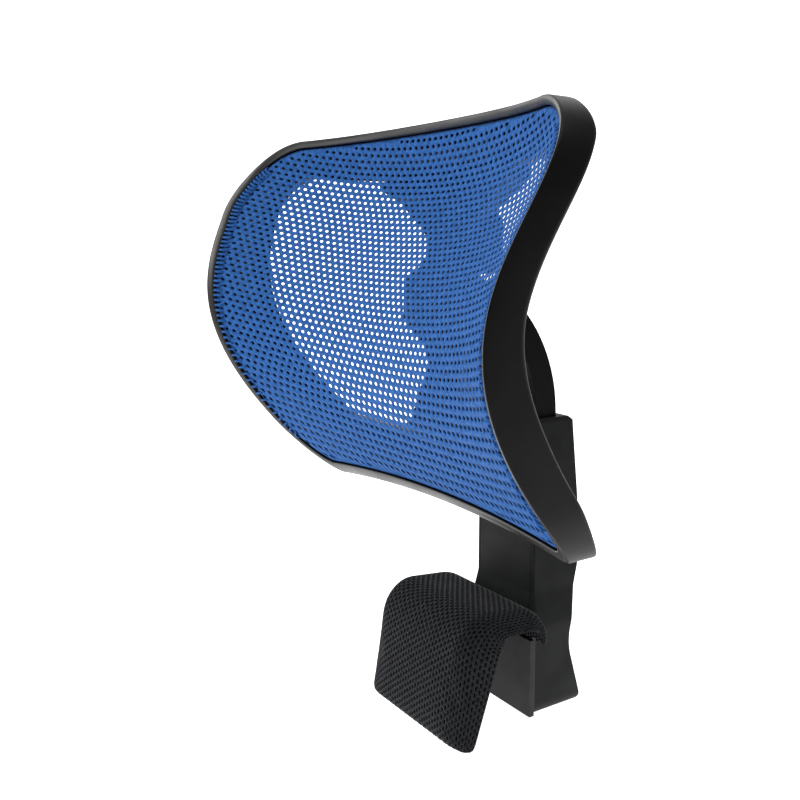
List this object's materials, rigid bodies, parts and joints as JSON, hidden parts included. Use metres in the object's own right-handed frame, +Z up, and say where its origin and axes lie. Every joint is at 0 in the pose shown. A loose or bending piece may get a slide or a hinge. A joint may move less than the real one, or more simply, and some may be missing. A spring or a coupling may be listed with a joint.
{
  "type": "chair headrest attachment",
  "caption": "Mesh headrest in a saddle-shaped plastic frame, on a tilting, height-sliding mast, with a padded hook that hangs over an office chair's back.",
  "frame": {"origin": "middle of the hook's seat, where the hook rests on the chair back's top rail", "axes": "+Z up along the mast, -Y to the front (the side the head touches), +X to the side"},
  "size_m": [0.2864, 0.1594, 0.3229],
  "materials": {
    "rim_plastic": "satin black",
    "mast_plastic": "satin black",
    "upright_plastic": "fine-grained charcoal",
    "blue_mesh": "open knitted mesh, mid blue",
    "spacer_mesh": "black spacer mesh",
    "foam": "soft foam",
    "rubber": "matte",
    "nylon": "natural nylon",
    "screw_steel": "zinc plated",
    "painted_steel": "black powder coat",
    "brass": "turned"
  },
  "bodies": {
    "bracket": {"upright_channel": "upright_plastic", "front_cover": "upright_plastic", "mouth_collar": "upright_plastic", "side_liners": "nylon", "front_glide": "nylon", "friction_pad": "rubber", "stop_screw": "screw_steel", "cover_screws": "screw_steel", "hook_strap": "painted_steel", "hook_foam": "foam", "hook_sleeve": "spacer_mesh", "hook_screws": "screw_steel", "threaded_inserts": "brass", "rear_pad": "rubber"},
    "mast": {"mast": "mast_plastic", "mast_foot": "nylon", "pivot_bushes": "nylon"},
    "headrest": {"headrest_rim": "rim_plastic", "mesh_panel": "blue_mesh", "edge_strip": "rim_plastic", "back_spine": "rim_plastic", "spine_screws": "screw_steel", "pivot_bolt": "screw_steel", "pivot_nut": "screw_steel", "friction_washers": "nylon", "pivot_caps": "rim_plastic"}
  },
  "joints": [
    {"name": "height", "type": "slide", "parent": "bracket", "child": "mast", "axis": [0, 0, 1], "range_m": [0, 0.05]},
    {"name": "tilt", "type": "hinge", "parent": "mast", "child": "headrest", "pos_m": [0, -0.009, 0.17], "axis": [1, 0, 0], "range_deg": [-30, 12]}
  ]
}
